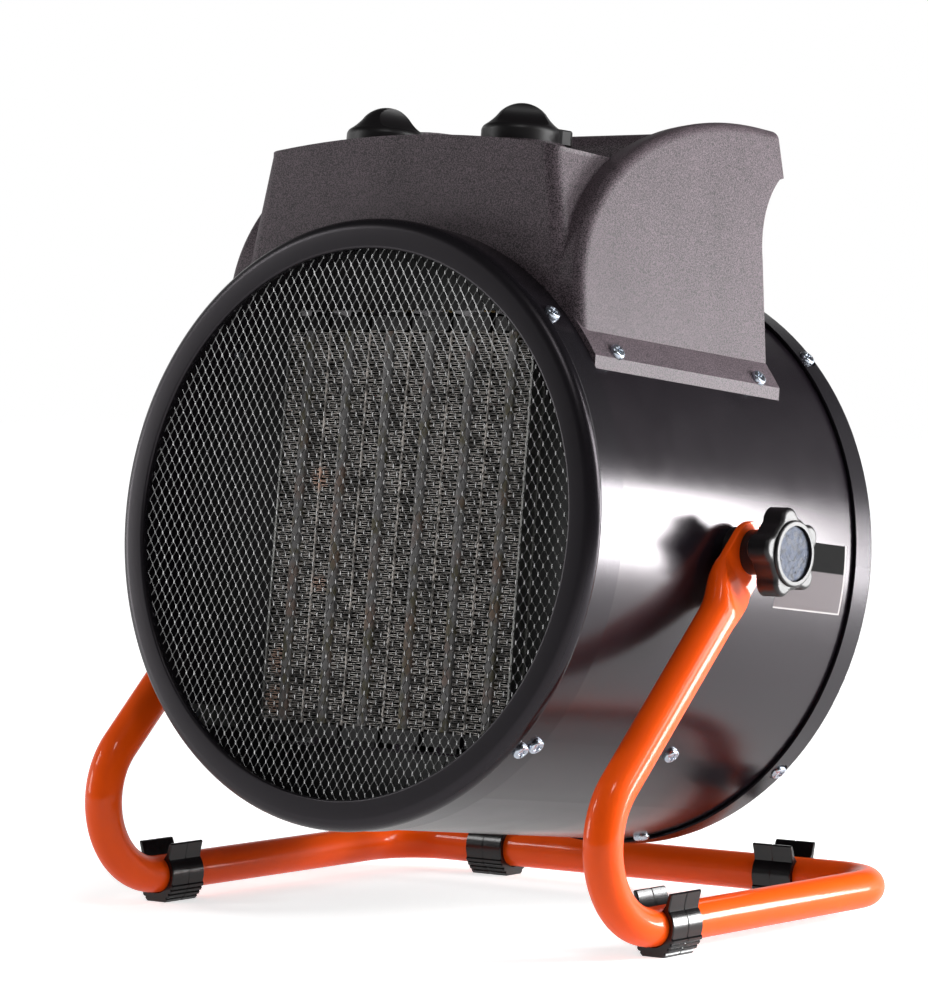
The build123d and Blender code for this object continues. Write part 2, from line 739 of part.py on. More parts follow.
def star_knob():
    """Five-lobed knob along +X: hub, lobed body, raised rim and cap recess."""
    body_start = star_face - star_thickness
    seat = lug_face + 0.2
    face_view = Plane(origin=(body_start, 0, 0), x_dir=(0, 1, 0), z_dir=(1, 0, 0))
    star = face_view * extrude(star_profile(), star_thickness - 1.5)
    rims = star.faces().sort_by(Axis.X)
    star = fillet(rims[-1].edges(), 2.2)
    star = chamfer(star.faces().sort_by(Axis.X)[0].edges(), 1.0)
    rim = rod_x(16.2, star_face - 3.0, star_face)
    rim = fillet(rim.edges().sort_by(Axis.X)[-1], 1.0)
    recess = rod_x(13.6, star_face - 2.6, star_face + 1)
    hub = rod_x(hub_radius, seat, body_start + 1.0)
    blind = rod_x(stud_radius, seat - 1, star_face - 7.0)
    return star + rim + hub - recess - blind


def star_cap():
    cap = rod_x(13.5, star_face - 2.6, star_face - 1.6)
    return fillet(cap.edges().sort_by(Axis.X)[-1], 0.4)


def star_stud():
    return rod_x(stud_radius, 136.0, star_face - 7.0)


# ---- stand ----

def stand_tube():
    """One bent tube: two arms, two floor rails and a back bar, ends pressed flat."""
    reach = hypot(1.0, arm_slope)
    toe_y = -(pivot_height - rail_height) / arm_slope
    neck = 36.0                                   # round tube starts this far from the pivot
    x = stand_half_width
    start_y, start_z = -neck / reach, pivot_height - neck * arm_slope / reach
    path = FilletPolyline((x, start_y, start_z), (x, toe_y, rail_height), (x, back_reach, rail_height),
                          (-x, back_reach, rail_height), (-x, toe_y, rail_height), (-x, start_y, start_z),
                          radius=[arm_bend, corner_bend, corner_bend, arm_bend])
    mouth = Plane(origin=path @ 0, z_dir=path % 0)
    tube = sweep(mouth * (Circle(tube_radius) - Circle(tube_radius - tube_wall)), path=path)
    return tube + both_sides(arm_end(neck, reach))


def arm_end(neck, reach):
    """Flattened end of an arm, from round tube to a rounded lug with its bolt hole."""
    lug_center = lug_face - lug_thickness / 2
    steps = [(neck + 1.0, tube_radius, tube_radius, stand_half_width),
             (neck - 8.0, 6.4, 12.4, 157.4),
             (neck - 16.0, 2.8, 14.4, 156.0),
             (neck - 21.0, lug_thickness / 2, lug_radius, lug_center)]
    sections = []
    for along, half_thick, half_wide, x in steps:
        origin = (x, -along / reach, pivot_height - along * arm_slope / reach)
        plane = Plane(origin=origin, x_dir=(1, 0, 0), z_dir=(0, 1 / reach, arm_slope / reach))
        sections.append(plane * Ellipse(half_thick, half_wide))
    swage = loft(sections)
    lug = Pos(0, 0, pivot_height) * rod_x(lug_radius, lug_face - lug_thickness, lug_face)
    tongue_plane = Plane(origin=(lug_face - lug_thickness, 0, pivot_height), x_dir=(0, -1 / reach, -arm_slope / reach), z_dir=(1, 0, 0))
    tongue = tongue_plane * Pos(8.0, 0, 0) * extrude(Rectangle(16.0, 2 * lug_radius), lug_thickness)
    hole = Pos(0, 0, pivot_height) * rod_x(stud_radius + 0.3, 140, 170)
    return swage + lug + tongue - hole


def foot_clip():
    """Snap-on foot along +Y: open ring with flared lips over a ribbed flat pad."""
    outer = tube_radius + foot_wall
    bore = Circle(tube_radius + 0.02)
    ring = Circle(outer) - bore
    gap = make_face(Polyline((0, 0), (-14, 24), (14, 24), close=True))
    lips = [Pos(s * 9.6, 12.2) * Rot(Z=-s * 16) * Rectangle(foot_wall, 8.4) for s in (-1, 1)]
    pad_low = -rail_height
    pad = make_face(Polyline((-10.5, pad_low), (10.5, pad_low), (11.6, -6.5), (-11.6, -6.5), close=True)) - bore
    ribs = [Pos(s * (11.4 - 0.3 * k), pad_low + 1.2 + 2.4 * k) * Rectangle(1.6, 1.1) for s in (-1, 1) for k in range(3)]
    section = ring - gap + lips + pad + ribs - bore
    return Pos(0, foot_length / 2, 0) * Rot(X=90) * extrude(section, foot_length)


def placed_foot(x, y, turn):
    return Pos(x, y, rail_height) * Rot(Z=turn) * foot_clip()


# ---- assembly ----

def heater_nodes():
    """Everything that tilts, in the drum frame."""
    pivot = Pos(0, pivot_y, 0)
    nodes = {
        "drum_shell": drum_shell(),
        "front_ring": front_ring(),
        "front_mesh": front_mesh(),
        "rear_ring": rear_ring(),
        "rear_guard": rear_guard(),
        "element_bars": element_bars(),
        "element_fins": element_fins(),
        "fin_plates": fin_plates(),
        "element_side_right": element_side(1),
        "element_side_left": element_side(-1),
        "element_rail_top": element_rail(1),
        "element_rail_bottom": element_rail(-1),
        "element_terminals": element_terminals(),
        "element_baffle": element_baffle(),
        "element_brackets": element_brackets(),
        "thermal_cutout": thermal_cutout(),
        "motor_body": motor_body(),
        "motor_laminations": motor_bands(),
        "motor_bracket": motor_bracket(),
        "motor_screws": motor_screws(),
        "motor_shaft": motor_shaft(),
        "fan_impeller": fan_impeller(),
        "impeller_nut": impeller_nut(),
        "control_housing": control_housing(),
        "carry_handle": carry_handle(),
        "control_panel": control_panel(),
        "thermostat_knob": top_knob(-1, 81),
        "thermostat_spindle": spindle(-1),
        "thermostat_body": switch_body(-1, 16, 13, 24),
        "thermostat_capillary": thermostat_capillary(),
        "mode_knob": top_knob(1, 40),
        "mode_spindle": spindle(1),
        "mode_switch": switch_body(1, 17, 17, 26),
        "terminal_block": terminal_block(),
        "wiring": wiring(),
        "cable_gland": cable_gland(),
        "gland_nut": gland_nut(),
        "front_ring_screws": screws(ring_spots, shell_radius + 1.3),
        "duct_screws": screws(duct_spots, shell_radius + 1.3),
        "drum_screws": screws(bracket_spots[2:] + brace_spots, shell_radius),
        "bracket_screws": screws(bracket_spots[:2], shell_radius, 6.0),
        "rear_ring_screws": screws(rear_spots, shell_radius + 0.05 + ring_skin),
        "flange_screws": screws(flange_spots, flange_radius, 4.5),
    }
    for side, place in (("right", Rot()), ("left", Rot(Z=180))):
        turned_to_side = pivot * place
        nodes["star_knob_" + side] = turned_to_side * star_knob()
        nodes["knob_cap_" + side] = turned_to_side * star_cap()
        nodes["knob_stud_" + side] = turned_to_side * star_stud()
        nodes["pivot_nut_" + side] = turned_to_side * Pos(0, -pivot_y, 0) * pivot_nut()
        nodes["pivot_spacer_" + side] = turned_to_side * Pos(0, -pivot_y, 0) * pivot_spacer()
    return nodes


def stand_nodes():
    return {
        "stand_tube": stand_tube(),
        "foot_clip_front_right": placed_foot(stand_half_width, front_foot_y, 0),
        "foot_clip_front_left": placed_foot(-stand_half_width, front_foot_y, 0),
        "foot_clip_rear_right": placed_foot(rear_foot_x, back_reach, 90),
        "foot_clip_rear_left": placed_foot(-rear_foot_x, back_reach, 90),
    }


def assemble():
    hang = Pos(0, 0, pivot_height) * Rot(X=-nose_up) * Pos(0, -pivot_y, 0)
    nodes = stand_nodes()
    for name, piece in heater_nodes().items():
        nodes[name] = hang * piece
    boxes = [piece.bounding_box() for piece in nodes.values()]
    low = min(box.min.Y for box in boxes)
    high = max(box.max.Y for box in boxes)
    middle = (low + high) / 2
    print("pivot at y", round(-middle, 3), "z", pivot_height)
    return {name: Pos(0, -middle, 0) * piece for name, piece in nodes.items()}


for node_name, solid in assemble().items():
    export_step(solid, os.path.join("parts", node_name + ".step"))
    print(node_name)
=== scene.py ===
# Drum fan heater on a bent-tube stand: the view, the studio, the finishes and the fine pieces.
import bmesh
import bpy
import json
import numpy as np
from math import atan2, cos, pi, radians, sin, sqrt
from mathutils import Matrix, Vector


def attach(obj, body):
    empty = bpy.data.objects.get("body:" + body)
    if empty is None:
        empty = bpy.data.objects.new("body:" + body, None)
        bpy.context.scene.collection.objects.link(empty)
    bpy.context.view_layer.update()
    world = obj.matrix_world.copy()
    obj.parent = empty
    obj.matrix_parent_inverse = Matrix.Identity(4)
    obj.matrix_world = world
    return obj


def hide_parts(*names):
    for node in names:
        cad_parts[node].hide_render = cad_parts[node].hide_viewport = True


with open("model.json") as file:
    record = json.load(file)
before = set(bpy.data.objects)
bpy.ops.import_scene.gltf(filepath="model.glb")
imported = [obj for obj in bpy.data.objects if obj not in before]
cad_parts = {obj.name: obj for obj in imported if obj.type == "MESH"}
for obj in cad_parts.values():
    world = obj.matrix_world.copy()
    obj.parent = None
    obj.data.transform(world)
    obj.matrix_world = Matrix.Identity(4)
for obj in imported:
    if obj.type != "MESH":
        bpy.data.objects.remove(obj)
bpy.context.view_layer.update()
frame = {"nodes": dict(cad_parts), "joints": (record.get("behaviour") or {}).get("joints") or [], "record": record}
nodes = frame["nodes"]
joints = {joint["name"]: joint for joint in frame["joints"]}
materialSlots = {part["node"]: part["material_slot"] for part in frame["record"]["subparts"]}
print("frame loaded:", len(nodes), "nodes")

mm = 0.001
halfDrum = 119.4  # half the drum's length in millimetres
pivot = np.array(joints["heater_tilt"]["pos_m"])
blow = np.array(joints["fan_spin"]["axis"])  # the drum's axis, towards its back
pivotAlong = float(pivot @ blow)
noseUp = atan2(-blow[2], blow[1])


def fromDrum(points):  # drum millimetres, origin in the middle of its front, to metres in the frame
    p = np.asarray(points, float)
    along = p[..., 1] - halfDrum
    up = p[..., 2]
    return np.stack([p[..., 0] * mm,
                     pivot[1] + (along * cos(noseUp) + up * sin(noseUp)) * mm,
                     pivot[2] + (up * cos(noseUp) - along * sin(noseUp)) * mm], -1)


def fromStand(points):  # stand millimetres, origin on the floor under the pivot, to metres in the frame
    return np.asarray(points, float) * mm + np.array([0, pivot[1], 0])


view = {"azimuth": 38.73, "elevation": 2.44, "distance": 2.18493, "lens": 161.6, "sensor": 36,
        "side": 0.0577, "rise": 0.02512, "drop": 0.00007, "reach": 50}  # degrees, millimetres of lens, metres


def addCamera():
    az = radians(view["azimuth"])
    el = radians(view["elevation"])
    back = Vector((sin(az) * cos(el), -cos(az) * cos(el), sin(el)))  # from the heater to the camera
    right = Vector((cos(az), sin(az), 0))
    up = back.cross(right)
    data = bpy.data.cameras.new("camera")
    data.sensor_fit = "VERTICAL"
    data.sensor_height = view["sensor"]
    data.lens = view["lens"]
    data.clip_end = view["reach"]
    camera = bpy.data.objects.new("camera", data)
    outlet = Vector((0, -halfDrum * mm, pivot[2] - view["drop"]))
    camera.matrix_world = Matrix((right, up, back)).transposed().to_4x4()
    camera.location = outlet + back * view["distance"] + right * view["side"] + up * view["rise"]
    bpy.context.scene.collection.objects.link(camera)
    bpy.context.scene.camera = camera


addCamera()
bpy.context.scene.view_settings.view_transform = "Standard"
print("camera placed")


class Wire:  # an output socket: arithmetic on it adds Math nodes
    def __init__(self, finish, socket):
        self.finish = finish
        self.socket = socket

    def maths(self, operation, first, second=0.0, clamp=False):
        return self.finish.add("Math", {"operation": operation, "use_clamp": clamp}, {0: first, 1: second})

    def __add__(self, other):
        return self.maths("ADD", self, other)

    def __radd__(self, other):
        return self.maths("ADD", other, self)

    def __sub__(self, other):
        return self.maths("SUBTRACT", self, other)

    def __rsub__(self, other):
        return self.maths("SUBTRACT", other, self)

    def __mul__(self, other):
        return self.maths("MULTIPLY", self, other)

    def __rmul__(self, other):
        return self.maths("MULTIPLY", other, self)

    def __truediv__(self, other):
        return self.maths("DIVIDE", self, other)

    def held(self):  # kept between 0 and 1
        return self.maths("ADD", self, 0.0, clamp=True)


def colour(tone):  # a grey as one number, or red, green and blue
    return (tone,) * 3 if isinstance(tone, (int, float)) else tuple(tone)


def scaled(tone, factor):  # a colour made lighter or darker, and kept below white
    return tuple(min(1, c * factor) for c in colour(tone))


class Finish:  # a material under way
    def __init__(self, name, holder=None):
        self.material = holder or bpy.data.materials.new(name)
        self.material.use_nodes = True
        self.tree = self.material.node_tree
        self.tree.nodes.clear()

    def add(self, kind, settings=None, inputs=None, output=0):
        node = self.tree.nodes.new("ShaderNode" + kind)
        for key, value in (settings or {}).items():
            setattr(node, key, value)
        for key, value in (inputs or {}).items():
            if isinstance(value, Wire):
                self.tree.links.new(value.socket, node.inputs[key])
            elif node.inputs[key].type == "RGBA":
                node.inputs[key].default_value = (*colour(value), 1)
            else:
                node.inputs[key].default_value = value
        return None if output is None else Wire(self, node.outputs[output])

    def vectors(self, operation, first, second=(0, 0, 0), output=0):
        return self.add("VectorMath", {"operation": operation}, {0: first, 1: second}, output)

    def ray(self, kind):
        return self.add("LightPath", output="Is " + kind + " Ray")

    def where(self, stretch=(1, 1, 1)):  # the piece's own coordinates in metres
        return self.vectors("MULTIPLY", self.add("TexCoord", output="Object"), stretch)

    def axis(self, number):
        return self.add("SeparateXYZ", None, {0: self.where()}, output=number)

    def along(self):  # how far along the drum's axis, in metres
        return self.vectors("DOT_PRODUCT", self.where(), tuple(blow), output="Value")

    def noise(self, size, detail=2.0, rough=0.5, stretch=(1, 1, 1)):  # size in millimetres, about 0.3 to 0.7
        return self.add("TexNoise", None, {"Vector": self.where(stretch), "Scale": 1 / (size * mm),
                                           "Detail": detail, "Roughness": rough})

    def cells(self, size, output="Distance"):  # size in millimetres
        return self.add("TexVoronoi", None, {"Vector": self.where(), "Scale": 1 / (size * mm)}, output=output)

    def spread(self, wire, low, high):  # 0 below low, 1 above high, smooth between
        return self.add("MapRange", {"interpolation_type": "SMOOTHSTEP"},
                        {"Value": wire, "From Min": low, "From Max": high})

    def between(self, factor, first, second):  # a colour from first to second
        return self.add("Mix", {"data_type": "RGBA"}, {0: factor, 6: first, 7: second}, output=2)

    def bump(self, height, depth, strength=1.0):  # depth in millimetres
        return self.add("Bump", None, {"Height": height, "Distance": depth * mm, "Strength": strength})

    def close(self, **sockets):
        names = {name.replace("_", " "): value for name, value in sockets.items()}
        shader = self.add("BsdfPrincipled", None, names)
        self.add("OutputMaterial", None, {"Surface": shader}, output=None)
        return self.material


lamps = {  # azimuth and elevation from the heater, distance, width and height in metres, power in watts
    "backStrip": (132, 0, 1.25, 0.44, 0.40, 21),
    "rearSide": (114, 20, 1.5, 0.4, 0.5, 9),
    "key": (-53, 26, 1.6, 0.25, 0.3, 3),
    "lowLeft": (-60, 4, 1.4, 0.35, 0.35, 3.6),
    "front": (38, 52, 2.0, 0.3, 0.3, 4),
    "side": (104, 34, 1.8, 0.2, 0.5, 3.9),
}
stripHeight = 0.21  # the strip's aim above the floor, the other lamps aim at the pivot
air = {"ambient": 0.22, "room": 0.04, "beyond": (0.3, 0.6), "top": (0.18, 0.5)}
paper = {"size": 14.0, "tone": 0.86, "nearGlow": 0.68, "fade": (0.3, 1.3), "mirrored": 0.3, "lighting": 0.32}


def addLamp(name, az, el, distance, width, height, watts):
    az = radians(az)
    el = radians(el)
    away = Vector((sin(az) * cos(el), -cos(az) * cos(el), sin(el)))
    data = bpy.data.lights.new(name, "AREA")
    data.shape = "RECTANGLE"
    data.size = width
    data.size_y = height
    data.energy = watts
    lamp = bpy.data.objects.new(name, data)
    target = Vector((0, 0, stripHeight if name == "backStrip" else pivot[2]))
    lamp.location = target + away * distance
    lamp.rotation_euler = away.to_track_quat("Z", "Y").to_euler()
    lamp.visible_camera = False
    bpy.context.scene.collection.objects.link(lamp)


def addAir():  # white to the camera; mirrors see white low down beyond the heater and a dim room elsewhere
    world = bpy.data.worlds.new("studioAir")
    bpy.context.scene.world = world
    f = Finish("studioAir", world)
    way = f.add("TexCoord", output="Generated")
    up = f.add("SeparateXYZ", None, {0: way}, output=2)
    az = radians(view["azimuth"])
    beyond = f.vectors("DOT_PRODUCT", way, (-sin(az), cos(az), 0), output="Value")
    backdrop = f.spread(beyond, *air["beyond"]) * (1 - f.spread(up, *air["top"]))
    overhead = f.between(backdrop, air["room"], 1.0)
    glossy = f.ray("Glossy")
    mirrored = glossy.maths("MAXIMUM", glossy, f.ray("Transmission"))
    tone = f.between(mirrored, air["ambient"], overhead)
    tone = f.between(f.ray("Camera"), tone, 1.0)
    lit = f.add("Background", None, {"Color": tone, "Strength": 1.0})
    f.add("OutputWorld", None, {"Surface": lit}, output=None)


def addFloor():  # lit paper that takes the shadow; to the camera it fades to white further off
    f = Finish("studioPaper")
    lit = f.add("BsdfDiffuse", None, {"Color": paper["tone"]})
    distance = f.vectors("LENGTH", f.where(), output="Value")
    white = f.add("Emission", None, {"Color": 1.0, "Strength": 1.0})
    dim = f.add("Emission", None, {"Color": 1.0, "Strength": paper["nearGlow"]})
    dark = f.add("Emission", None, {"Color": 0.0, "Strength": 0.0})
    glow = f.add("MixShader", None, {0: f.spread(distance, *paper["fade"]), 1: dim, 2: white})
    seen = f.ray("Camera") + paper["mirrored"] * f.ray("Glossy")
    glow = f.add("MixShader", None, {0: (seen + paper["lighting"]).held(), 1: dark, 2: glow})
    both = f.add("AddShader", None, {0: lit, 1: glow})
    f.add("OutputMaterial", None, {"Surface": both}, output=None)
    half = paper["size"] / 2
    corners = [(-half, -half, 0), (half, -half, 0), (half, half, 0), (-half, half, 0)]
    mesh = bpy.data.meshes.new("studioFloor")
    mesh.from_pydata(corners, [], [(0, 1, 2, 3)])
    mesh.materials.append(f.material)
    floor = bpy.data.objects.new("studioFloor", mesh)
    bpy.context.scene.collection.objects.link(floor)


for lampName, settings in lamps.items():
    addLamp(lampName, *settings)
addAir()
addFloor()
print("studio lit")


tones = {  # the two ends of each finish: one number for a grey, or red, green and blue
    "drum": ((0.0045, 0.003, 0.005), (0.009, 0.007, 0.0095)),
    "ring": ((0.005, 0.0042, 0.0056), (0.008, 0.007, 0.009)),
    "net": (0.05, 0.14),
    "netDarkened": (0.012, 0.04),
    # the net's knots: pale tones that paint the highlights on them
    "knot": (0.40, 0.85),
    "ceramic": ((0.165, 0.16, 0.16), (0.10, 0.09, 0.055)),
    "fin": ((0.13, 0.12, 0.11), (0.82, 0.76, 0.71)),
    "laminations": (0.11, (0.28, 0.26, 0.25)),
    "housing": ((0.001, 0.0005, 0.001), (0.130, 0.099, 0.115)),
    "stand": ((0.90, 0.078, 0.001), (0.98, 0.104, 0.002)),
    "foil": ((0.002, 0.0035, 0.009), (0.032, 0.043, 0.072)),
}
ceramicBrown = (0.19, 0.12, 0.09)
finStain = (0.86, 0.58, 0.46)
# painted shade on the fins behind their front edges
finPaintedShade = (0.009, 0.0075, 0.007)
violetShine = (1, 0.91, 0.97)
netDarkZone = {"x": (-78, -30), "bottom": (94, 112), "top": (262, 306)}  # frame millimetres, where it fades in or out
stains = [((-52, 38.7, 24), 6.5), ((-69, 38.7, -68), 8.0), ((-70, 38.7, -88), 8.0),
          ((-47.5, 38.7, -29), 5.0)]  # the middle in drum millimetres, and the reach
element = {"front": 37.5, "depth": 26.0, "half": 98.5, "module": 26.0, "count": 6, "bar": 6.0, "barRound": 1.2,
           "finPitch": 2.2, "finSkin": 0.14, "finSetback": 1.2, "finSquare": 2.2, "finClear": 0.1,
           "plate": 0.8, "plateSetback": 0.4, "plateRound": 0.3, "endBevel": 0.4, "endShrink": 0.96}


def drumPaint():  # black enamel on rolled sheet, a little orange peel
    f = Finish("drumPaint")
    cloud = f.noise(22)
    dust = f.noise(1.1, 3)
    return f.close(Base_Color=f.between(cloud, *tones["drum"]), Specular_Tint=violetShine,
                   Roughness=0.16 + 0.08 * cloud + 0.03 * dust, Normal=f.bump(f.noise(1.8, 1), 0.01, 0.1))


def ringPaint():  # black enamel, satin on the flat faces and glossier over the bands
    f = Finish("ringPaint")
    grain = f.noise(0.5, 2)
    behindFace = (f.along() - pivotAlong) / mm + halfDrum
    gloss = f.spread(behindFace, 0.4, 4.0)
    return f.close(Base_Color=f.between(f.noise(30), *tones["ring"]), Specular_Tint=(1, 0.91, 1),
                   Specular_IOR_Level=0.38, Roughness=0.30 - 0.12 * gloss + 0.08 * grain,
                   Normal=f.bump(grain, 0.03, 0.3))


def netMetal():  # expanded steel, darker across the element's height from left of its middle to the net's right edge
    f = Finish("netMetal")
    x = f.axis(0) / mm
    z = f.axis(2) / mm
    # the darker zone: fades in from x -78 to -30 millimetres, between the element's bottom and top
    darkened = f.spread(x, *netDarkZone["x"]) * (1 - f.spread(z, *netDarkZone["top"])) * f.spread(z, *netDarkZone["bottom"])
    fine = f.noise(1.2, 3)
    tone = f.between(darkened, f.between(fine, *tones["net"]), f.between(fine, *tones["netDarkened"]))
    return f.close(Base_Color=tone, Metallic=1.0, Roughness=0.2 + 0.1 * f.noise(14))


def paintedKnotGlints():  # the net's knots, with painted highlights: a pale base colour in random patches stands in for the glints the lamps catch on them
    f = Finish("paintedKnotGlints")
    # painted highlight: where this is high the knots are paler, for their glints
    glints = f.spread(f.noise(1.4, 3), 0.34, 0.6)
    return f.close(Base_Color=f.between(glints, *tones["knot"]), Metallic=0.35 + 0.3 * glints,
                   Roughness=0.3 + 0.15 * f.noise(9))


def ceramicBar():  # warm grey heater bars with olive and brown heat stains
    f = Finish("ceramicBar")
    stain = f.spread(f.noise(7, 3, 0.6, (1, 1, 0.5)), 0.48, 0.62)
    brown = f.spread(f.noise(16, 2, 0.5), 0.5, 0.68)
    tone = f.between(brown * 0.7, f.between(stain, *tones["ceramic"]), ceramicBrown)
    return f.close(Base_Color=tone, Metallic=0.35, Roughness=0.4 + 0.2 * f.noise(2.5, 3))


def finMetal():  # rolled aluminium fins: bright cut edges in front, a few salmon stains, and painted shade: near black from a fraction of a millimetre behind the front edges, where the shade lies deep between the fins
    f = Finish("finMetal")
    front = pivotAlong + (element["front"] + element["finSetback"] - halfDrum) * mm
    # painted shade: 0 at the fins' front edges, 1 from 0.4 millimetre behind them
    inside = f.spread((f.along() - front) / mm, 0.02, 0.4)
    tone = f.between(f.spread(f.noise(9, 3, 0.7), 0.36, 0.62), *tones["fin"])
    for stain, reach in stains:
        spot = tuple(float(c) for c in fromDrum(stain))
        away = f.vectors("DISTANCE", f.where(), spot, output="Value")
        ragged = away / mm + 6 * f.noise(3, 2)
        tone = f.between(1 - f.spread(ragged, reach, reach + 4), tone, finStain)
    tone = f.between(inside, tone, finPaintedShade)
    return f.close(Base_Color=tone, Metallic=0.1, Roughness=0.35 + 0.2 * f.noise(1.3))


def platedSteel(name, tone, spangle=6.0, roughness=0.3):  # zinc plate with faint crystals
    f = Finish(name)
    shine = f.noise(1.5, 3)
    shade = f.add("SeparateXYZ", None, {0: f.cells(spangle, "Color")}, output=0)
    return f.close(Base_Color=f.between(shade, scaled(tone, 0.8), tone), Metallic=1.0,
                   Roughness=roughness - 0.06 + 0.14 * shine + 0.05 * shade)


def castMetal(name, tone, roughness, grainSize=0.8, depth=0.05):  # cast or moulded, lightly pitted
    f = Finish(name)
    grain = f.noise(grainSize, 3)
    shade = f.between(f.noise(grainSize * 22), scaled(tone, 0.82), scaled(tone, 1.18))
    return f.close(Base_Color=shade, Metallic=0.0, Roughness=roughness - 0.06 + 0.12 * grain,
                   Normal=f.bump(grain, depth, 0.4))


def edgeStack():  # the motor's laminations, a fine line every 0.9 millimetre along the axis
    f = Finish("edgeStack")
    half = 0.45
    line = f.add("Math", {"operation": "PINGPONG"}, {0: f.along() / mm, 1: half}) / half
    return f.close(Base_Color=f.between(line, *tones["laminations"]), Metallic=0.9,
                   Roughness=0.35 + 0.15 * f.noise(3), Normal=f.bump(line, 0.15, 0.6))


def housingPlastic():  # glass-filled grey plastic: light and dark specks in an eroded surface
    f = Finish("housingPlastic")
    grain = 0.62
    speck = f.spread(f.noise(grain, 2, 0.6), 0.40, 0.60)
    tone = f.between((speck * 0.85 + f.noise(28) * 0.25).held(), *tones["housing"])
    return f.close(Base_Color=tone, Specular_IOR_Level=0.3, Roughness=0.46 + 0.16 * speck,
                   Normal=f.bump(f.noise(grain, 2), 0.2, 0.4))


def standPaint():  # orange powder coat, glossy over a slight orange peel
    f = Finish("standPaint")
    cloud = f.noise(25)
    return f.close(Base_Color=f.between(cloud, *tones["stand"]), Roughness=0.4 + 0.1 * cloud,
                   Specular_IOR_Level=0.1, Coat_Weight=0.35, Coat_Roughness=0.07,
                   Normal=f.bump(f.noise(1.4, 1), 0.02, 0.25))


def crinkledFoil():  # the knobs' inlaid discs, pressed metal foil with small crinkles
    f = Finish("crinkledFoil")
    fold = f.cells(2.6) + f.noise(1.6, 3, 0.7)
    cloud = f.spread(f.noise(3.2, 4, 0.65), 0.35, 0.65)
    return f.close(Base_Color=f.between(cloud, *tones["foil"]), Metallic=0.45,
                   Roughness=0.3 + 0.25 * cloud, Normal=f.bump(fold, 0.5, 0.9))


finishes = {
    "drum_paint": drumPaint(),
    "ring_paint": ringPaint(),
    "mesh_paint": netMetal(),
    "ceramic": ceramicBar(),
    "fin_metal": finMetal(),
    "plated_steel": platedSteel("platedSteel", (0.52, 0.52, 0.50)),
    "heatproof_plastic": castMetal("heatproofPlastic", (0.006, 0.005, 0.005), 0.5),
    "brass": platedSteel("brass", (0.66, 0.48, 0.22), 3.0, 0.26),
    "copper": platedSteel("copper", (0.62, 0.30, 0.17), 3.0, 0.28),
    "inner_paint": castMetal("innerPaint", 0.012, 0.5),
    "motor_paint": castMetal("motorPaint", 0.020, 0.4, 0.7, 0.08),
    "laminations": edgeStack(),
    "fan_metal": platedSteel("fanMetal", (0.45, 0.45, 0.46), 9.0, 0.34),
    "housing_plastic": housingPlastic(),
    "knob_plastic": castMetal("knobPlastic", (0.006, 0.0045, 0.0055), 0.42, 0.5, 0.04),
    "lead_cover": castMetal("leadCover", (0.62, 0.60, 0.55), 0.5, 0.6),
    "screw_zinc": platedSteel("screwZinc", (0.60, 0.66, 0.75), 1.6, 0.22),
    "cap_metal": crinkledFoil(),
    "stand_paint": standPaint(),
    "clip_plastic": castMetal("clipPlastic", (0.0035, 0.0025, 0.003), 0.22, 0.5, 0.03),
}
for name, node in nodes.items():
    node.data.materials.clear()
    node.data.materials.append(finishes[materialSlots[name]])
print("finishes made")


class Surface:  # grids of points gathered into one mesh
    def __init__(self):
        self.points = []
        self.faces = []
        self.count = 0

    def grid(self, points, roundRows=False, roundColumns=True, capped=False):
        # rows by columns of points, or a stack of such grids; capped ends close on their own middles
        p = np.asarray(points, float)
        p = p.reshape((-1,) + p.shape[-3:])
        if capped:
            ends = np.repeat(p[:, [0, -1]].mean(axis=2, keepdims=True), p.shape[2], axis=2)
            p = np.concatenate([ends[:, :1], p, ends[:, 1:]], axis=1)
        copies, rows, columns = p.shape[:3]
        i = np.arange(rows if roundRows else rows - 1)[:, None]
        j = np.arange(columns if roundColumns else columns - 1)[None, :]
        after = (i + 1) % rows
        beside = (j + 1) % columns
        quads = np.stack([i * columns + j, after * columns + j,
                          after * columns + beside, i * columns + beside], -1)
        quads = quads.reshape(1, -1, 4) + np.arange(copies)[:, None, None] * rows * columns
        self.points.append(p.reshape(-1, 3))
        self.faces += (quads.reshape(-1, 4) + self.count).tolist()
        self.count += copies * rows * columns

    def plate(self, points):  # one flat face through these points
        self.points.append(np.asarray(points, float))
        self.faces.append(list(range(self.count, self.count + len(points))))
        self.count += len(points)

    def make(self, name, body, node, sharp=38, finish=None):  # a piece in the place of a node of the frame
        mesh = bpy.data.meshes.new(name)
        mesh.from_pydata(np.concatenate(self.points).tolist(), [], self.faces)
        form = bmesh.new()
        form.from_mesh(mesh)
        bmesh.ops.remove_doubles(form, verts=form.verts, dist=3e-7)
        bmesh.ops.recalc_face_normals(form, faces=form.faces)
        form.to_mesh(mesh)
        form.free()
        mesh.shade_smooth()
        mesh.set_sharp_from_angle(angle=radians(sharp))
        mesh.materials.append(finish or finishes[materialSlots[node]])
        piece = bpy.data.objects.new(name, mesh)
        bpy.context.scene.collection.objects.link(piece)
        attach(piece, body)
        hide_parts(node)


def turns(count):  # angles of a full turn, without its end
    return np.arange(count) * 2 * pi / count


def ease(x):  # from 0 to 1, level at both ends: three times the square less twice the cube
    x = np.clip(x, 0, 1)
    return x * x * (3 - 2 * x)


def aroundDrum(profile, count):  # radius times cosine and sine of the turn, each at its own depth
    radius, depth = np.asarray(profile, float).T
    a = turns(count)[None, :]
    return np.stack([radius[:, None] * np.cos(a), depth[:, None] + 0 * a, radius[:, None] * np.sin(a)], -1)


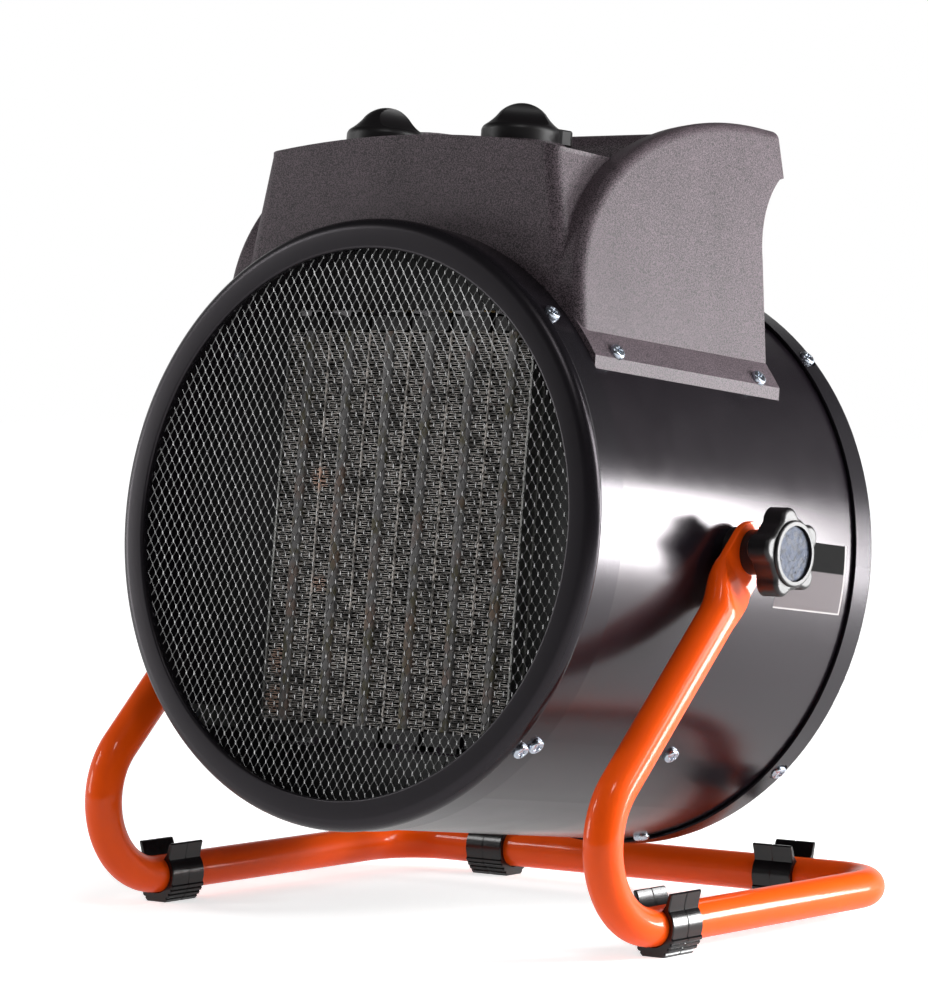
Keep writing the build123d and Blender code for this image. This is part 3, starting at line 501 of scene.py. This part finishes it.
def bars(starts, ends, halfWidth, halfDepth, sides):
    # straight rods between drum points: cosine of the turn across, sine of it inward, at both ends
    along = (ends - starts) / np.linalg.norm(ends - starts, axis=-1, keepdims=True)
    across = np.cross(along, np.array([0.0, 1.0, 0.0]))
    across /= np.linalg.norm(across, axis=-1, keepdims=True)
    inward = np.cross(across, along)
    a = turns(sides)[None, None, :, None]
    section = across[:, None, None] * halfWidth * np.cos(a) + inward[:, None, None] * halfDepth * np.sin(a)
    return np.stack([starts, ends], 1)[:, :, None] + section


net = {"across": 5.18, "down": 8.2, "reach": 138.5, "level": 4.5, "strand": 0.26, "depth": 0.24, "columns": 28,
       "rows": 35, "knotWidth": 0.42, "knotHeight": 1.05, "knotSwell": 1.5, "knotTaper": 0.45,
       "rimIn": 137.0, "rimOut": 146.6, "rimHalf": 0.45, "sharp": 80}


def addNet():  # knots on a staggered lattice, each joined to the two below it by thin strands
    column, row = np.meshgrid(np.arange(-net["columns"], net["columns"] + 1),
                              np.arange(-net["rows"], net["rows"] + 1), indexing="ij")
    x = (column + 0.5 * (row % 2)) * net["across"]
    z = row * net["down"] / 2.0
    inside = np.hypot(x, z) < net["reach"]
    knots = np.stack([x[inside], np.full(inside.sum(), net["level"]), z[inside]], -1)
    form = Surface()
    for side in (-1, 1):
        below = knots + np.array([side * net["across"] / 2, 0, -net["down"] / 2])
        form.grid(fromDrum(bars(knots, below, net["strand"], net["depth"], 4)), capped=True)
    rise = np.array([-1.0, 0.0, 1.0])[None, :, None, None]
    thick = np.array([net["knotTaper"], 1.0, net["knotTaper"]])[None, :, None, None]
    a = (turns(4) + pi / 4)[None, None, :, None]
    knob = (np.array([1.0, 0, 0]) * np.cos(a) * net["knotWidth"]
            + np.array([0, 1.0, 0]) * np.sin(a) * net["depth"] * net["knotSwell"])
    lift = np.array([0, 0, 1.0]) * rise * net["knotHeight"]
    glints = Surface()
    glints.grid(fromDrum(knots[:, None, None] + knob * thick + lift), capped=True)
    glints.make("outletKnots", "heater", "front_mesh", net["sharp"], paintedKnotGlints())
    low = net["level"] - net["rimHalf"]
    high = net["level"] + net["rimHalf"]
    rim = [(net["rimIn"], low), (net["rimOut"], low), (net["rimOut"], high), (net["rimIn"], high)]
    form.grid(fromDrum(aroundDrum(rim, 128)), roundRows=True)
    form.make("outletNet", "heater", "front_mesh", net["sharp"])


ring = {"lip": 134.7, "lipRound": 1.4, "lipDepth": 4.0, "face": 144.0, "edge": 150.0, "skin": 1.2, "wall": 1.9,
        "band": 149.3, "bandFront": 7.6, "bandBack": 25.0, "sharp": 15}


def addRing():  # spun ring: rounded lip, flat face, quarter-round edge, then a band over the shell
    g = ring
    t = np.linspace(0, pi / 2, 9)
    bend = g["edge"] - g["face"]
    lip = np.stack([g["lip"] + g["lipRound"] * (1 - np.cos(t)), g["skin"] * (1 - np.sin(t))], -1)
    edge = np.stack([g["face"] + bend * np.sin(t), bend * (1 - np.cos(t))], -1)
    inside = np.stack([g["face"] + (bend - g["wall"]) * np.sin(t),
                       g["skin"] + (bend - g["skin"]) * (1 - np.cos(t))], -1)
    band = [(g["band"], g["bandFront"]), (g["band"], g["bandBack"]), (g["band"] - g["skin"], g["bandBack"])]
    hem = [(g["lip"] + g["skin"], g["skin"]), (g["lip"] + g["skin"], g["lipDepth"])]
    profile = np.concatenate([[(g["lip"], g["lipDepth"])], lip, edge, band, inside[::-1], hem])
    form = Surface()
    form.grid(fromDrum(aroundDrum(profile, 256)), roundRows=True)
    form.make("outletRing", "heater", "front_ring", g["sharp"])


addNet()
addRing()
print("outlet net and ring made")


def barPlaces():
    return (np.arange(element["count"]) - (element["count"] - 1) / 2) * element["module"]


def addFins():  # each ribbon snakes between a bar and its neighbour plate: x is a held sine of the height
    e = element
    gap = e["module"] / 2 - e["bar"] / 2 - e["plate"] / 2
    middle = e["bar"] / 2 + gap / 2
    centres = np.concatenate([barPlaces() - middle, barPlaces() + middle])
    rounds = int(2 * e["half"] / e["finPitch"])
    t = np.linspace(0, rounds, rounds * 8 + 1)
    wave = np.tanh(e["finSquare"] * np.sin(2 * pi * t)) / np.tanh(e["finSquare"]) * (gap / 2 - e["finClear"])
    z = -e["half"] + t * 2 * e["half"] / rounds
    slope = np.stack([np.gradient(wave, t), np.gradient(z, t)], -1)
    slope /= np.linalg.norm(slope, axis=-1, keepdims=True)
    side = np.stack([-slope[:, 1], slope[:, 0]], -1) * e["finSkin"]
    y0 = e["front"] + e["finSetback"]
    y1 = e["front"] + e["depth"] - e["finSetback"]
    ribbon = np.stack([np.stack([wave + s * side[:, 0], np.full_like(z, y), z + s * side[:, 1]], -1)
                       for s, y in ((1, y0), (-1, y0), (-1, y1), (1, y1))], 1)
    form = Surface()
    form.grid(fromDrum(ribbon[None] + centres[:, None, None, None] * np.array([1.0, 0, 0])), capped=True)
    form.make("finRibbons", "heater", "element_fins", 50)


def roundedBars(centres, halfX, y0, y1, halfZ, radius):
    # upright bars: the nearest corner, plus the radius times cosine and sine of the turn, in at both ends
    a = turns(24)
    corner = np.round((a - pi / 4) / (pi / 2)) * pi / 2 + pi / 4
    x = np.sign(np.cos(corner)) * (halfX - radius) + radius * np.cos(a)
    y = np.sign(np.sin(corner)) * ((y1 - y0) / 2 - radius) + radius * np.sin(a) + (y0 + y1) / 2
    z = np.array([-halfZ, -halfZ + element["endBevel"], halfZ - element["endBevel"], halfZ])
    shrink = np.array([element["endShrink"], 1, 1, element["endShrink"]])[:, None]
    middle = (y0 + y1) / 2
    body = np.stack([x[None] * shrink, (y[None] - middle) * shrink + middle, z[:, None] + 0 * x[None]], -1)
    return body[None] + centres[:, None, None, None] * np.array([1.0, 0, 0])


def addBars():
    e = element
    y0 = e["front"]
    y1 = y0 + e["depth"]
    form = Surface()
    form.grid(fromDrum(roundedBars(barPlaces(), e["bar"] / 2, y0, y1, e["half"], e["barRound"])), capped=True)
    form.make("heaterBars", "heater", "element_bars")
    between = (barPlaces()[1:] + barPlaces()[:-1]) / 2
    y0 += e["plateSetback"]
    y1 -= e["plateSetback"]
    form = Surface()
    form.grid(fromDrum(roundedBars(between, e["plate"] / 2, y0, y1, e["half"], e["plateRound"])), capped=True)
    form.make("partingPlates", "heater", "fin_plates")


addFins()
addBars()
print("heating element made")


screw = {"radius": 4.2, "height": 2.6, "edge": 1.5, "crown": 0.08, "shank": 2.0, "length": 5.0,
         "slot": 0.55, "slotSoft": 0.25, "slotWall": 0.4, "slotReach": 2.5, "slotEnd": 0.5, "slotDepth": 1.5,
         "slotRise": 0.3, "rows": 15, "crowding": 0.8, "firstTurn": 0.7, "nodeTurn": 1.3, "nextTurn": 2.1}
screwPlaces = {  # node: the seat's radius, and the angle round the drum and the depth of each screw
    "front_ring_screws": (149.3, [(44, 12), (136, 12), (-44, 12), (-136, 12)]),
    "duct_screws": (149.3, [(-42.5, 20), (-137.5, 20)]),
    "drum_screws": (148.0, [(-43, 132), (-137, 132), (-77, 215), (-103, 215)]),
    "rear_ring_screws": (149.25, [(45, 229.8), (135, 229.8), (-45, 229.8), (-135, 229.8)]),
    "flange_screws": (151.5, [(35.9, 45), (35.9, 163.5), (144.1, 45), (144.1, 163.5)]),
}


def screwForm():  # domed head with a cross recess: it drops where the smaller of |u| and |v| is within the slot
    s = screw
    rise = np.linspace(0, 1, s["rows"]) ** s["crowding"]
    radius = np.concatenate([rise * s["radius"], [s["radius"], s["shank"], s["shank"]]])
    fall = np.clip((radius[:s["rows"]] - (s["radius"] - s["edge"])) / s["edge"], 0, 1)
    dome = s["height"] * (1 - s["crown"] * rise ** 2) - s["edge"] * (1 - np.sqrt(np.clip(1 - fall ** 2, 0, 1)))
    level = np.concatenate([dome, [0.0, 0.0, -s["length"]]])
    a = turns(48)
    u = radius[:, None] * np.cos(a)
    v = radius[:, None] * np.sin(a)
    near = np.minimum(np.abs(u), np.abs(v))
    far = np.maximum(np.abs(u), np.abs(v))
    wall = ease((s["slot"] + s["slotSoft"] - near) / s["slotWall"]) * ease((s["slotReach"] - far) / s["slotEnd"])
    wall[s["rows"]:] = 0
    drop = s["slotDepth"] * wall * (1 - s["slotRise"] * far / s["slotReach"])
    return u, v, level[:, None] - drop


def addScrews():  # the form stood on the drum: out along the radius, and turned about it
    u, v, level = screwForm()
    forward = np.array([0, 1.0, 0])
    for number, (node, (seat, places)) in enumerate(screwPlaces.items()):
        form = Surface()
        for turn, (angle, depth) in enumerate(places):
            a = radians(angle)
            twist = screw["firstTurn"] + screw["nodeTurn"] * number + screw["nextTurn"] * turn
            out = np.array([cos(a), 0, sin(a)])
            sideways = np.array([-sin(a), 0, cos(a)])
            p = u * cos(twist) - v * sin(twist)
            q = u * sin(twist) + v * cos(twist)
            head = (out * (seat + level)[..., None] + forward * (depth + p)[..., None]
                    + sideways * q[..., None])
            form.grid(fromDrum(head), capped=True)
        form.make(node.replace("_", "-") + "-crossed", "heater", node, 32)


addScrews()
print("screws made")


stand = {"tube": 9.5, "side": 159.2, "rail": 14.45, "pivot": 188.2, "back": 119.3, "slope": 0.954,
         "armBend": 40.0, "cornerBend": 30.0, "lug": 15.0, "lugOut": 157.7, "lugIn": 153.7, "step": 2.0,
         "widen": (46, 26), "shift": (42, 24), "outside": (12, 17, 25), "inside": (5, 17, 22), "sides": 44}
# widen and shift: where the change starts, from the bolt, and how long it is; outside and inside: how much the
# pressed faces open to the round tube, where that starts and how long it is


def bentLine(corners, radii, step):  # straight runs joined by arcs of the given radii, a station every step
    runs = []
    last = corners[0]
    for before, at, after, radius in zip(corners[:-2], corners[1:-1], corners[2:], radii):
        arrive = (at - before) / np.linalg.norm(at - before)
        leave = (after - at) / np.linalg.norm(after - at)
        turn = np.arccos(np.clip(arrive @ leave, -1, 1))
        start = at - arrive * radius * np.tan(turn / 2)
        inward = (leave - arrive * (arrive @ leave)) / np.sin(turn)
        stations = np.linspace(0, 1, int(np.linalg.norm(start - last) / step) + 2)[:, None]
        runs.append(last + (start - last) * stations)
        a = np.linspace(0, turn, int(radius * turn / step) + 6)[1:-1, None]
        runs.append(start + radius * (arrive * np.sin(a) + inward * (1 - np.cos(a))))
        last = at + leave * radius * np.tan(turn / 2)
    end = corners[-1]
    stations = np.linspace(0, 1, int(np.linalg.norm(end - last) / step) + 2)[:, None]
    runs.append(last + (end - last) * stations)
    return np.concatenate(runs)


def addStand():
    # a circle carried along the bent line: towards the bolt its cosine is held between two planes,
    # its sine widens to the lug, and the lug's end is rounded by the square root of one less a square
    s = stand
    reach = sqrt(1 + s["slope"] ** 2)
    toe = -(s["pivot"] - s["rail"]) / s["slope"]
    tip = [s["lug"] / reach, s["pivot"] + s["lug"] * s["slope"] / reach]
    corners = np.array([[s["side"], *tip], [s["side"], toe, s["rail"]], [s["side"], s["back"], s["rail"]],
                        [-s["side"], s["back"], s["rail"]], [-s["side"], toe, s["rail"]], [-s["side"], *tip]])
    line = bentLine(corners, (s["armBend"], s["cornerBend"], s["cornerBend"], s["armBend"]), s["step"])
    way = np.gradient(line, axis=0)
    way /= np.linalg.norm(way, axis=1, keepdims=True)
    flat = np.abs(line[:, 2] - s["rail"]) < 0.01
    sideways = np.sign(line[:, :1]) * np.array([1.0, 0, 0])
    outward = np.where(flat[:, None], np.cross(way, [0, 0, 1.0]), sideways)
    outward /= np.linalg.norm(outward, axis=1, keepdims=True)
    aside = np.cross(way, outward)
    run = np.concatenate([[0], np.cumsum(np.linalg.norm(np.diff(line, axis=0), axis=1))])
    fromBolt = np.minimum(run, run[-1] - run) - s["lug"]
    ending = np.sqrt(np.clip(1 - np.clip(-fromBolt / s["lug"], 0, 1) ** 2, 0, 1))
    start, length = s["widen"]
    half = (s["tube"] + (s["lug"] - s["tube"]) * ease((start - fromBolt) / length)) * ending
    start, length = s["shift"]
    middle = s["side"] + ((s["lugOut"] + s["lugIn"]) / 2 - s["side"]) * ease((start - fromBolt) / length)
    much, start, length = s["outside"]
    outer = s["lugOut"] + much * np.clip((fromBolt - start) / length, 0, 1)
    much, start, length = s["inside"]
    inner = s["lugIn"] - much * np.clip((fromBolt - start) / length, 0, 1)
    a = turns(s["sides"])[None, :]
    thick = np.clip(middle[:, None] + s["tube"] * np.cos(a), inner[:, None], outer[:, None]) - s["side"]
    wide = half[:, None] * np.sin(a)
    skin = line[:, None] + outward[:, None] * thick[..., None] + aside[:, None] * wide[..., None]
    form = Surface()
    form.grid(fromStand(skin), capped=True)
    form.make("standTube", "stand", "stand_tube", 24)


clip = {"length": 24.0, "bore": 9.56, "back": 12.5, "edge": 0.5, "groove": 0.35, "grooveIn": 0.4, "grooveOut": 0.7,
        "foot": [(0, -14.45), (6.2, -14.45), (7.6, -13.1), (7.3, -12.3), (8.8, -11.9), (9.4, -10.8), (9.0, -10.1),
                 (10.4, -9.7), (11.0, -8.5), (10.6, -7.8), (11.9, -7.4), (12.3, -6.0), (11.7, -5.2)],
        "lip": [(9.9, 9.2), (10.7, 12.5), (11.6, 15.7), (11.2, 16.4), (10.4, 16.5), (9.4, 16.2), (8.6, 14.2),
                (7.5, 10.6)]}
clipPlaces = {  # node: the clip's middle in stand millimetres, and its turn about the upright
    "foot_clip_front_right": (159.2, -71.4, 0),
    "foot_clip_front_left": (-159.2, -71.4, 0),
    "foot_clip_rear_right": (94.5, 119.3, 90),
    "foot_clip_rear_left": (-94.5, 119.3, 90),
}


def clipOutline():  # sole, serrated foot, back arc, lip and bore down one side, and their mirror image up again
    arc = radians(1) * np.linspace(-20, 38, 12)
    outer = np.stack([clip["back"] * np.cos(arc), clip["back"] * np.sin(arc)], -1)
    bore = radians(1) * np.linspace(56, -90, 24)
    inner = np.stack([clip["bore"] * np.cos(bore), clip["bore"] * np.sin(bore)], -1)
    half = np.concatenate([clip["foot"], outer, clip["lip"], inner])
    return np.concatenate([half[1:-1], (half * [-1, 1])[::-1]])


def addClips():  # the outline drawn out along the tube, drawn in at both ends and in the groove half way
    line = clipOutline()
    away = np.roll(line, -1, axis=0) - np.roll(line, 1, axis=0)
    away = np.stack([away[:, 1], -away[:, 0]], -1)
    away /= np.linalg.norm(away, axis=1, keepdims=True)
    length = clip["length"]
    stations = [(0, clip["edge"]), (clip["edge"], 0), (length / 2 - clip["grooveOut"], 0),
                (length / 2 - clip["grooveIn"], clip["groove"]), (length / 2 + clip["grooveIn"], clip["groove"]),
                (length / 2 + clip["grooveOut"], 0), (length - clip["edge"], 0), (length, clip["edge"])]
    for node, (x, y, turn) in clipPlaces.items():
        a = radians(turn)
        across = np.array([cos(a), sin(a), 0])
        along = np.array([-sin(a), cos(a), 0])
        rows = []
        for run, inset in stations:
            section = line - away * inset
            rows.append(np.array([x, y, stand["rail"]]) + across * section[:, :1]
                        + np.array([0, 0, 1.0]) * section[:, 1:] + along * (run - length / 2))
        rows = np.array(rows)
        rows[..., 2] = np.maximum(rows[..., 2], 0)
        form = Surface()
        form.grid(fromStand(rows))
        form.plate(fromStand(rows[0]))
        form.plate(fromStand(rows[-1][::-1]))
        form.make(node.replace("_", "-") + "-ribbed", "stand", node, 30)


addStand()
addClips()
print("stand made")


guard = {"wire": 1.5, "level": 233.2, "rings": (28.0, 49.0, 70.0, 91.0, 112.0, 133.0), "sink": 0.3,
         "spokeIn": 26.0, "spokeOut": 140.0, "spokes": 6, "firstSpoke": 30, "rim": (135.0, 142.0, 232.8, 234.8),
         "badge": [(27.5, -1.0), (28.5, 0.0), (27.8, 1.0), (24, 1.15), (18, 0.7), (10, 0.5), (3, 0.45)]}


def addGuard():
    # rings whose radius and level follow cosine and sine of a small turn, welded on spokes that are rods,
    # a flat rim, and a dished blank disc turned about the drum's axis
    g = guard
    form = Surface()
    a = turns(120)[None, :, None]
    b = turns(10)[None, None, :]
    radius = np.array(g["rings"])[:, None, None] + g["wire"] * np.cos(b)
    level = g["level"] + g["wire"] * np.sin(b) + 0 * a * radius
    form.grid(fromDrum(np.stack([radius * np.cos(a), level, radius * np.sin(a)], -1)), roundRows=True)
    angles = radians(g["firstSpoke"]) + turns(g["spokes"])
    out = np.stack([np.cos(angles), 0 * angles, np.sin(angles)], -1)
    base = np.array([0, g["level"] - 2 * g["wire"] + g["sink"], 0])
    spokes = bars(out * g["spokeIn"] + base, out * g["spokeOut"] + base, g["wire"], g["wire"], 10)
    form.grid(fromDrum(spokes), capped=True)
    inner, outer, low, high = g["rim"]
    rim = [(inner, low), (outer, low), (outer, high), (inner, high)]
    form.grid(fromDrum(aroundDrum(rim, 128)), roundRows=True)
    badge = np.array(g["badge"]) + np.array([0, g["level"]])
    form.grid(fromDrum(aroundDrum(badge, 64)), capped=True)
    form.make("guardWires", "heater", "rear_guard", 40)


label = {"radius": 148.12, "tuck": 0.1, "angles": (-9.8, 3.7), "depths": (157.0, 215.5), "points": 15,
         "band": 0.585, "bandSoft": 0.01, "topLine": (0.975, 0.985), "sideLine": (0.015, 0.03),
         "dark": 0.005, "grey": (0.15, 0.135, 0.14), "pale": (0.42, 0.40, 0.40)}


def blankLabel():  # dark band over a grey field, a pale line along two edges, no lettering
    f = Finish("blankLabel")
    up = f.add("Attribute", {"attribute_name": "up"}, output="Fac")
    over = f.add("Attribute", {"attribute_name": "over"}, output="Fac")
    band = f.spread(up, label["band"] - label["bandSoft"], label["band"] + label["bandSoft"])
    edge = (f.spread(over, *label["topLine"]) + (1 - f.spread(up, *label["sideLine"]))).held()
    tone = f.between(edge, f.between(band, label["grey"], label["dark"]), label["pale"])
    return f.close(Base_Color=tone, Specular_IOR_Level=0.04, Roughness=0.6 + 0.12 * f.noise(2, 3))


def addLabel():
    # a thin foil on the shell: radius times cosine and sine of the angle at each depth, its border tucked down
    count = label["points"]
    angles = np.radians(np.linspace(*label["angles"], count))
    depths = np.linspace(*label["depths"], count)
    border = np.zeros((count, count))
    border[[0, -1]] = 1
    border[:, [0, -1]] = 1
    radius = label["radius"] - label["tuck"] * border
    skin = np.stack([radius * np.cos(angles[:, None]), depths[None, :] + 0 * radius,
                     radius * np.sin(angles[:, None])], -1)
    i, j = np.meshgrid(np.arange(count - 1), np.arange(count - 1), indexing="ij")
    corner = i * count + j
    quads = np.stack([corner, corner + count, corner + count + 1, corner + 1], -1).reshape(-1, 4)
    mesh = bpy.data.meshes.new("drumLabel")
    mesh.from_pydata(fromDrum(skin).reshape(-1, 3).tolist(), [], quads[:, ::-1].tolist())
    share = np.linspace(0, 1, count)
    for name, values in (("up", share[:, None] + 0 * border), ("over", share[None, :] + 0 * border)):
        mesh.attributes.new(name, "FLOAT", "POINT").data.foreach_set("value", values.ravel())
    mesh.shade_smooth()
    mesh.materials.append(blankLabel())
    piece = bpy.data.objects.new("drumLabel", mesh)
    bpy.context.scene.collection.objects.link(piece)
    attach(piece, "heater")


addGuard()
addLabel()
print("guard and label made")
